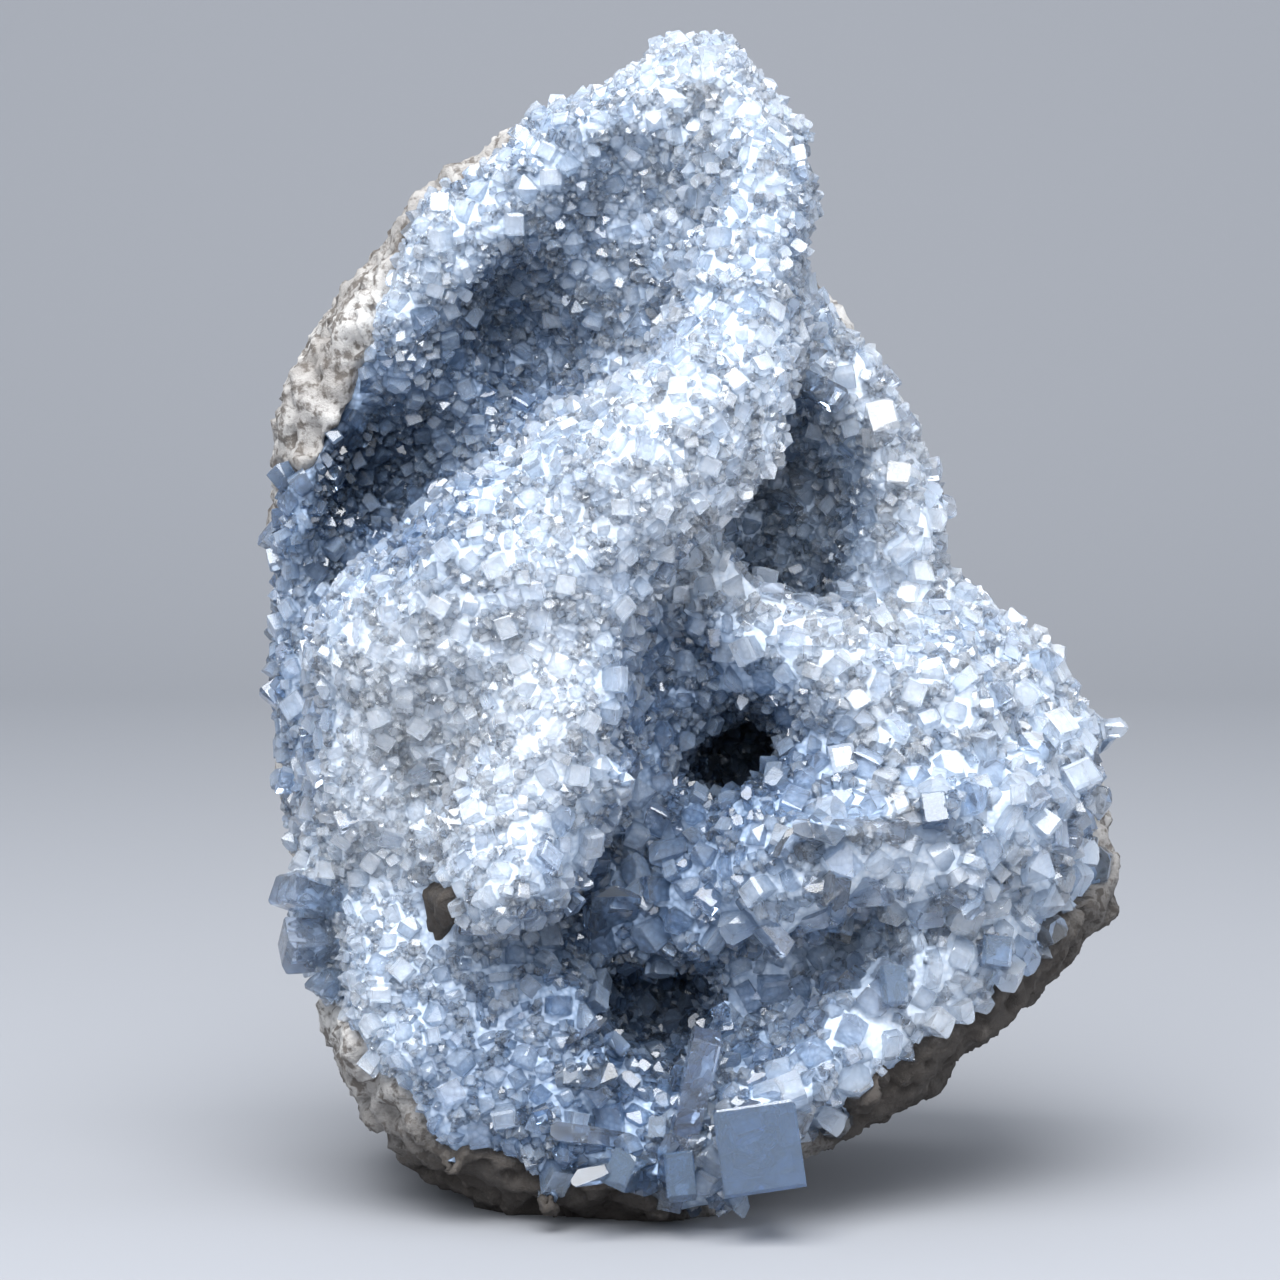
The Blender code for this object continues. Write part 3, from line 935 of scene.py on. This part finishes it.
@dataclass
class CrystalShapes:
    """A stock of convex crystals, each cut from a block by flat planes. Widths are 1, the foot is at 0."""

    each: int = 14
    root: float = 0.6
    stock: dict[Habit, list[tuple[np.ndarray, np.ndarray]]] = field(default_factory=dict)

    def make(self) -> None:
        """Cuts the stock."""
        chance = random.Random(SEED)
        for habit in Habit:
            self.stock[habit] = [self.cut(habit, chance) for _ in range(self.each)]

    def cut(self, habit: Habit, chance: random.Random) -> tuple[np.ndarray, np.ndarray]:
        """Cuts one crystal.

        Args:
            habit: its shape.
            chance: the source of its small differences.

        Returns:
            Its vertices and its triangles.
        """
        thin, thick = {
            Habit.WEDGE: (0.55, 0.9),
            Habit.POINT: (0.7, 1.0),
            Habit.BLOCK: (0.7, 1.0),
            Habit.TABLET: (0.28, 0.45),
            Habit.GRAIN: (0.6, 1.0),
            Habit.SQUARE: (0.9, 1.0),
        }[habit]
        a, b, top = 0.5, chance.uniform(thin, thick) / 2, 1.0
        cuts: list[tuple[Vector, Vector]] = []
        if habit is not Habit.GRAIN:
            cuts += self.corner_cuts(a, b, habit in (Habit.BLOCK, Habit.SQUARE), chance)
        steep = {
            Habit.WEDGE: ((46, 62), (20, 52)),
            Habit.POINT: ((50, 64), (50, 64)),
            Habit.BLOCK: ((28, 52), (28, 52)),
            Habit.TABLET: ((28, 50), (35, 55)),
            Habit.GRAIN: ((46, 62), (36, 60)),
            Habit.SQUARE: ((42, 48), (42, 48)),
        }[habit]
        peak = Vector((chance.uniform(-0.14, 0.14), chance.uniform(-0.12, 0.12), top))
        for i, half in enumerate((a, b)):
            tilt = chance.uniform(*steep[i])
            for side in (-1, 1):
                angle = math.radians(tilt + chance.uniform(-6, 6))
                way = Vector((0, 0, math.cos(angle)))
                way[i] = side * math.sin(angle)
                spot = peak.copy()
                if habit in (Habit.BLOCK, Habit.SQUARE):
                    narrow = (0.97, 0.985) if habit is Habit.SQUARE else (0.88, 0.98)
                    spot = way * (half * abs(way[i]) + top * way.z) * chance.uniform(*narrow)
                elif habit is Habit.WEDGE and i == 1:
                    spot.y += side * half * chance.uniform(0.2, 0.8)
                cuts.append((spot, way))
        if habit not in (Habit.GRAIN, Habit.SQUARE) and chance.random() < 0.6:
            lid = Vector((chance.uniform(-0.2, 0.2), chance.uniform(-0.2, 0.2), 1)).normalized()
            cuts.append((Vector((0, 0, top * chance.uniform(0.9, 0.98))), lid))
        return self.carve(a, b, top, cuts)

    @staticmethod
    def corner_cuts(a: float, b: float, stout: bool, chance: random.Random) -> list[tuple[Vector, Vector]]:
        """Picks planes along the upright edges.

        Args:
            a: half the crystal's width.
            b: half its depth.
            stout: whether only a narrow strip comes off each edge.
            chance: the source of the small differences.

        Returns:
            A point on each plane, and the plane's outward normal.
        """
        cuts = []
        lean = chance.uniform(30, 60)
        for across in (-1, 1):
            for along in (-1, 1):
                if chance.random() < 0.35:
                    continue
                angle = math.radians(lean + chance.uniform(-6, 6))
                way = Vector((across * math.cos(angle), along * math.sin(angle), 0))
                corner = a * abs(way.x) + b * abs(way.y)
                share = chance.uniform(0.86, 0.98) if stout else chance.uniform(0.66, 0.95)
                cuts.append((way * corner * share, way))
        return cuts

    def carve(
        self, a: float, b: float, top: float, cuts: list[tuple[Vector, Vector]]
    ) -> tuple[np.ndarray, np.ndarray]:
        """Cuts a block by planes.

        Args:
            a: half its width.
            b: half its depth.
            top: its height above the foot.
            cuts: a point on each plane, and the plane's outward normal.

        Returns:
            The vertices and the triangles of what is left.
        """
        bm = bmesh.new()
        bmesh.ops.create_cube(bm, size=2)
        for vertex in bm.verts:
            x, y, z = vertex.co
            narrow = 0.8 if z < 0 else 1.0
            vertex.co = Vector((x * a * narrow, y * b * narrow, top if z > 0 else -self.root))
        for spot, way in cuts:
            whole = bm.verts[:] + bm.edges[:] + bm.faces[:]
            bmesh.ops.bisect_plane(bm, geom=whole, plane_co=spot, plane_no=way, clear_outer=True)
            bmesh.ops.holes_fill(bm, edges=[edge for edge in bm.edges if edge.is_boundary])
        bmesh.ops.remove_doubles(bm, verts=bm.verts[:], dist=0.03)
        corners = [vertex.co.copy() for vertex in bm.verts]
        bm.free()
        hull = bmesh.new()
        made = bmesh.ops.convex_hull(hull, input=[hull.verts.new(corner) for corner in corners])
        unused = [item for item in made["geom_interior"] if isinstance(item, bmesh.types.BMVert)]
        bmesh.ops.delete(hull, geom=unused)
        hull.verts.index_update()
        points = np.array([vertex.co[:] for vertex in hull.verts])
        faces = np.array([[vertex.index for vertex in face.verts] for face in hull.faces])
        hull.free()
        return points, faces


@dataclass
class Seed:
    """Where one crystal grows and how."""

    spot: Vector
    axis: Vector
    widths: tuple[float, float, float]
    turn: float
    habit: Habit
    shape: int
    tint: float
    finish: Finish
    piece: str


@dataclass
class Druse:
    """All crystals of the crust, sown over the bed.

    A pass holds the crystals' scale, the room that they ask for and the number of darts. The drift leans
    neighbours the same way, the tilt leans each on its own, and the spread is the difference in tint from
    one crystal to the next. Crystals in the dark are narrower by dark_width, and their tint is darker there
    by a set share: painted shade in the hollows. The rise paints each crystal darker at its foot and paler
    at its tip: painted shade between the crystals and painted light on the tips. A
    single crystal grows where a ray from front meets the bed or, past its rim, at the nearest place to edge.
    """

    bed: Skin
    zones: ZoneMap
    shapes: CrystalShapes
    passes: tuple[tuple[float, float, int], ...] = (
        (1.5, 1.3, 30000),
        (1.0, 0.66, 130000),
        (0.66, 0.5, 240000),
    )
    fine_shares: tuple[float, ...] = (0.45, 0.88, 0.93, 1.0)
    stout_shares: tuple[float, ...] = (0.35, 0.58, 0.86, 1.0)
    stout_from: float = 2.6
    stout_height: float = 0.75
    overlap: float = 1.1
    heights: tuple[float, float] = (0.45, 0.8)
    drift: float = 0.9
    drift_mm: float = 5.0
    tilt: float = 0.7
    patch: float = 0.12
    patch_mm: float = 16.0
    spread: float = 0.18
    # Painted shade at each crystal's foot and painted light at its tip: the tint offset from foot to tip.
    rise: tuple[float, float] = (-0.2, 0.16)
    dark_width: float = 0.35
    # Painted shade: the share by which a crystal's tint darkens where its place sees little sky.
    painted_shade_tint: float = 0.55
    cell: float = 3.0
    margin: float = 0.5
    front: float = -200.0
    edge: float = -10.0
    seeds: list[Seed] = field(default_factory=list)

    def sow(self) -> None:
        """Throws darts at the crust, large crystals first, and keeps each that finds room."""
        chance = np.random.default_rng(SEED)
        quads = self.bed.quads[(self.bed.crust[self.bed.quads] > 0.5).all(axis=1)]
        corners = self.bed.points[quads]
        areas = np.linalg.norm(
            np.cross(corners[:, 2] - corners[:, 0], corners[:, 3] - corners[:, 1]), axis=1
        )
        taken: dict[tuple[int, int, int], list[tuple[float, float, float, float]]] = {}
        for number, (scale, room, darts) in enumerate(self.passes):
            small = number == len(self.passes) - 1
            picked = chance.choice(len(quads), darts, p=areas / areas.sum())
            u, v = chance.random(darts), chance.random(darts)
            weights = np.stack([(1 - u) * (1 - v), u * (1 - v), u * v, (1 - u) * v], axis=1)
            spots = (corners[picked] * weights[:, :, None]).sum(axis=1)
            normals = (self.bed.normals[quads[picked]] * weights[:, :, None]).sum(axis=1)
            shade = (self.bed.openness[quads[picked]] * weights).sum(axis=1)
            size, white, clear, nearest = self.zones.at(spots)
            wide = size * scale * chance.uniform(0.8, 1.25, darts)
            wide *= (1 - self.dark_width) + self.dark_width * np.minimum(shade * 1.6, 1)
            draws = chance.random((darts, 8))
            for i in range(darts):
                place = spots[i] / MM
                if not self.has_room(taken, place, wide[i] * room):
                    continue
                self.grow(
                    Vector(spots[i]), Vector(normals[i]), float(wide[i]), float(white[i]),
                    float(clear[i]), float(shade[i]), ZONES[nearest[i]].piece, draws[i], small,
                )

    def has_room(self, taken: dict, place: np.ndarray, reach: float) -> bool:
        """Says whether a crystal finds room, and takes the place if it does.

        Args:
            taken: the places that are taken, by cell.
            place: the dart's place in millimetres.
            reach: the width that it asks for.

        Returns:
            True where no taken place is nearer than half of both widths.
        """
        x, y, z = (float(value) for value in place)
        home = (int(x // self.cell), int(y // self.cell), int(z // self.cell))
        for i in (-1, 0, 1):
            for j in (-1, 0, 1):
                for k in (-1, 0, 1):
                    for px, py, pz, other in taken.get((home[0] + i, home[1] + j, home[2] + k), ()):
                        least = (reach + other) / 2
                        if (px - x) ** 2 + (py - y) ** 2 + (pz - z) ** 2 < least * least:
                            return False
        taken.setdefault(home, []).append((x, y, z, reach))
        return True

    def grow(
        self, spot: Vector, normal: Vector, wide: float, white: float, clear: float,
        shade: float, piece: str, draw: np.ndarray, small: bool,
    ) -> None:
        """Adds one seed.

        Args:
            spot: its place in metres.
            normal: the bed's outward normal.
            wide: its width in millimetres.
            white: the whiteness of its zone.
            clear: the share of clear crystals in its zone.
            shade: how open its place is.
            piece: the piece that it belongs to.
            draw: eight random numbers from 0 to 1.
            small: whether it only fills a gap.
        """
        drift = noise.noise_vector(spot / (self.drift_mm * MM)) * self.drift
        tilt = Vector((draw[0] - 0.5, draw[1] - 0.5, draw[2] - 0.5)) * self.tilt
        axis = (normal.normalized() + drift + tilt).normalized()
        if axis.dot(normal) < 0.25:
            axis = (axis + normal).normalized()
        habits = (Habit.WEDGE, Habit.POINT, Habit.BLOCK, Habit.TABLET)
        shares = self.stout_shares if wide > self.stout_from else self.fine_shares
        habit = habits[next(i for i, share in enumerate(shares) if draw[3] <= share)]
        tall = wide * (self.heights[0] + self.heights[1] * draw[4])
        if wide > self.stout_from:
            tall *= self.stout_height
        if small:
            habit = Habit.GRAIN
        wide *= self.overlap
        patch = noise.noise(spot / (self.patch_mm * MM) + Vector((9, 9, 9)))
        tint = white + self.patch * patch + self.spread * (draw[5] - 0.5)
        # Painted shade: the tint darkens in the hollows, by how little sky the place sees.
        tint *= (1 - self.painted_shade_tint) + self.painted_shade_tint * min(shade * 1.5, 1)
        finish = Finish.CLEAR if draw[6] < clear else Finish.CLOUDY
        self.seeds.append(
            Seed(
                spot, axis, (wide, wide, tall), draw[7] * math.tau, habit,
                int(draw[2] * 1e6) % self.shapes.each, min(max(tint, 0), 1), finish, piece,
            )
        )

    def place_singles(self) -> None:
        """Adds the crystals that the eye picks out, each on the bed behind its place."""
        tree = BVHTree.FromPolygons(
            [Vector(p) for p in self.bed.points], [tuple(int(i) for i in quad) for quad in self.bed.quads]
        )
        for number, one in enumerate(SINGLE_CRYSTALS):
            start = Vector((one.x + SHIFT.x, self.front, one.z + SHIFT.z)) * MM
            spot = tree.ray_cast(start, Vector((0, 1, 0)))[0]
            if spot is None:
                spot = tree.find_nearest(Vector((one.x + SHIFT.x, self.edge, one.z)) * MM)[0]
            self.seeds.append(
                Seed(
                    spot, Vector(one.axis).normalized(), (one.width, one.depth, one.height),
                    math.radians(one.turn), one.habit, number % self.shapes.each, one.white,
                    one.finish, "single_crystals",
                )
            )

    def build(self, finishes: list[bpy.types.Material]) -> list[bpy.types.Object]:
        """Makes one piece of all crystals that share its name.

        Args:
            finishes: the cloudy, the clear and the blue material.

        Returns:
            The pieces.
        """
        made = []
        for name in sorted({seed.piece for seed in self.seeds}):
            seeds = [seed for seed in self.seeds if seed.piece == name]
            made.append(self.gather(name, seeds, finishes))
        return made

    def gather(
        self, name: str, seeds: list[Seed], finishes: list[bpy.types.Material]
    ) -> bpy.types.Object:
        """Joins crystals in one mesh.

        Args:
            name: the piece's name.
            seeds: its crystals.
            finishes: its material slots.

        Returns:
            The piece.
        """
        all_points, all_faces, all_tints, all_slots = [], [], [], []
        start = 0
        for habit in Habit:
            for number, (corners, faces) in enumerate(self.shapes.stock[habit]):
                group = [seed for seed in seeds if seed.habit is habit and seed.shape == number]
                if not group:
                    continue
                placed = self.placed(group, corners)
                kept = placed[:, :, 2].min(axis=1) > self.margin * MM
                placed = placed[kept]
                group = [seed for seed, keep in zip(group, kept) if keep]
                if not group:
                    continue
                count = len(corners)
                all_points.append(placed.reshape(-1, 3))
                numbers = start + np.arange(len(group))[:, None, None] * count + faces[None]
                all_faces.append(numbers.reshape(-1, 3))
                tints = np.array([seed.tint for seed in group])[:, None]
                # Painted shade at the foot and painted light at the tip of each crystal.
                rise = np.interp(corners[:, 2], (0.0, 1.0), self.rise)[None]
                all_tints.append(np.clip(tints + rise, 0, 1).ravel())
                all_slots.append(np.repeat([seed.finish.value for seed in group], len(faces)))
                start += len(group) * count
        piece = mesh_piece(name, np.concatenate(all_points), np.concatenate(all_faces), finishes)
        piece.data.polygons.foreach_set("material_index", np.concatenate(all_slots).astype(np.int32))
        piece.data.shade_flat()
        set_tint(piece, np.concatenate(all_tints))
        return piece

    @staticmethod
    def placed(group: list[Seed], corners: np.ndarray) -> np.ndarray:
        """Turns and moves one shape to the place of each seed.

        Args:
            group: the seeds.
            corners: the shape's vertices.

        Returns:
            The vertices of each copy, in metres.
        """
        axis = np.array([seed.axis[:] for seed in group])
        spot = np.array([seed.spot[:] for seed in group])
        scale = np.array([seed.widths for seed in group]) * MM
        turn = np.array([seed.turn for seed in group])
        helper = np.where(np.abs(axis[:, 2:3]) < 0.9, [[0.0, 0.0, 1.0]], [[1.0, 0.0, 0.0]])
        side = np.cross(helper, axis)
        side /= np.linalg.norm(side, axis=1, keepdims=True)
        other = np.cross(axis, side)
        c, s = np.cos(turn)[:, None], np.sin(turn)[:, None]
        basis = np.stack([side * c + other * s, other * c - side * s, axis], axis=1)
        local = corners[None] * scale[:, None, :]
        return np.einsum("nvk,nkd->nvd", local, basis) + spot[:, None, :]


@dataclass
class Studio:
    """The pale sweep, the soft lights and the camera at the photograph's angle."""

    target: Vector = field(default_factory=lambda: (Vector((6.7, 0, 91)) + SHIFT) * MM)
    distance: float = 0.8
    elevation: float = 4.0
    lens: float = 135.0
    sensor: float = 36.0
    half_width: float = 3.0
    depth: float = 1.6
    rise: float = 2.4
    bend: float = 0.6

    def sweep(self) -> bpy.types.Object:
        """Makes the floor, which curves up behind the stone.

        Returns:
            The piece.
        """
        outline = [(-4.0, 0.0), (self.depth - self.bend, 0.0)]
        for i in range(1, 13):
            angle = math.pi / 2 * i / 12
            outline.append(
                (self.depth - self.bend + self.bend * math.sin(angle), self.bend * (1 - math.cos(angle)))
            )
        outline.append((self.depth, self.rise))
        points = [(x, y, z) for y, z in outline for x in (-self.half_width, self.half_width)]
        faces = [(2 * i, 2 * i + 1, 2 * i + 3, 2 * i + 2) for i in range(len(outline) - 1)]
        piece = mesh_piece("paper_sweep", np.array(points), np.array(faces), [FloorFinish().build()])
        piece.data.shade_smooth()
        return piece

    def lamp(self, name: str, place: tuple, aim: tuple, size: float, power: float, tone: str) -> None:
        """Adds a soft square light.

        Args:
            name: its name.
            place: where it stands, in metres.
            aim: the point that it faces.
            size: its width in metres.
            power: its power in watts.
            tone: its colour.
        """
        light = bpy.data.lights.new(name, "AREA")
        light.size = size
        light.energy = power
        light.color = linear(tone)[:3]
        item = bpy.data.objects.new(name, light)
        item.location = place
        item.rotation_euler = (Vector(aim) - Vector(place)).to_track_quat("-Z", "Y").to_euler()
        bpy.context.scene.collection.objects.link(item)

    def lights(self) -> None:
        """Adds the lights and a dim even surround."""
        middle = (0, 0, 0.1)
        self.lamp("key_softbox", (-0.08, -0.55, 1.05), middle, 1.0, 24.0, "#FFFFFF")
        self.lamp("front_fill", (-0.3, -1.3, 0.9), middle, 1.2, 13.0, "#F8FAFF")
        self.lamp("side_fill", (1.0, -0.3, 0.5), middle, 0.6, 3.0, "#F2F6FF")
        self.lamp("backdrop_wash", (0.0, 0.6, 1.3), (0, 1.5, 0.3), 1.0, 4.0, "#FFFFFF")
        world = bpy.data.worlds.new("studio_air")
        world.use_nodes = True
        surround = world.node_tree.nodes["Background"]
        surround.inputs["Color"].default_value = linear("#DCE3EC")
        surround.inputs["Strength"].default_value = 1.05
        bpy.context.scene.world = world

    def camera(self) -> None:
        """Sets the camera at the photograph's angle and distance."""
        lens = bpy.data.cameras.new("front_camera")
        lens.lens = self.lens
        lens.sensor_width = self.sensor
        lens.clip_start = 0.01
        item = bpy.data.objects.new("front_camera", lens)
        angle = math.radians(self.elevation)
        back = Vector((0, -math.cos(angle), math.sin(angle)))
        item.location = self.target + back * self.distance
        item.rotation_euler = (-back).to_track_quat("-Z", "Y").to_euler()
        bpy.context.scene.collection.objects.link(item)
        bpy.context.scene.camera = item
        bpy.context.scene.view_settings.view_transform = "Standard"


def report(piece: bpy.types.Object) -> None:
    """Logs a piece's name and its triangles."""
    piece.data.calc_loop_triangles()
    LOG.info("%s: %d triangles", piece.name, len(piece.data.loop_triangles))


def main() -> None:
    """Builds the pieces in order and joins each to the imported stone."""
    logging.basicConfig(level=logging.INFO, format="%(name)s %(message)s")
    noise.seed_set(SEED)
    studio = Studio()
    studio.camera()
    stone = Stone()
    stone.gather()
    zones = ZoneMap()
    rind = stone.rind(LimestoneRindFinish())
    bed, skin = stone.bed(zones, DruseBedFinish())
    bpy.data.objects.remove(stone.source)
    shapes = CrystalShapes()
    shapes.make()
    druse = Druse(skin, zones, shapes)
    druse.sow()
    druse.place_singles()
    crystals = druse.build([CLOUDY.build(), CLEAR.build(), BLUE.build()])
    for piece, slot in [(rind, "rind"), (bed, "celestite")] + [(one, "celestite") for one in crystals]:
        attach(piece, ROOT_BODY)
        report(piece)
    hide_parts("rock_shell")
    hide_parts("crystal_crust")
    studio.sweep()
    studio.lights()


if __name__ == "__main__":
    main()
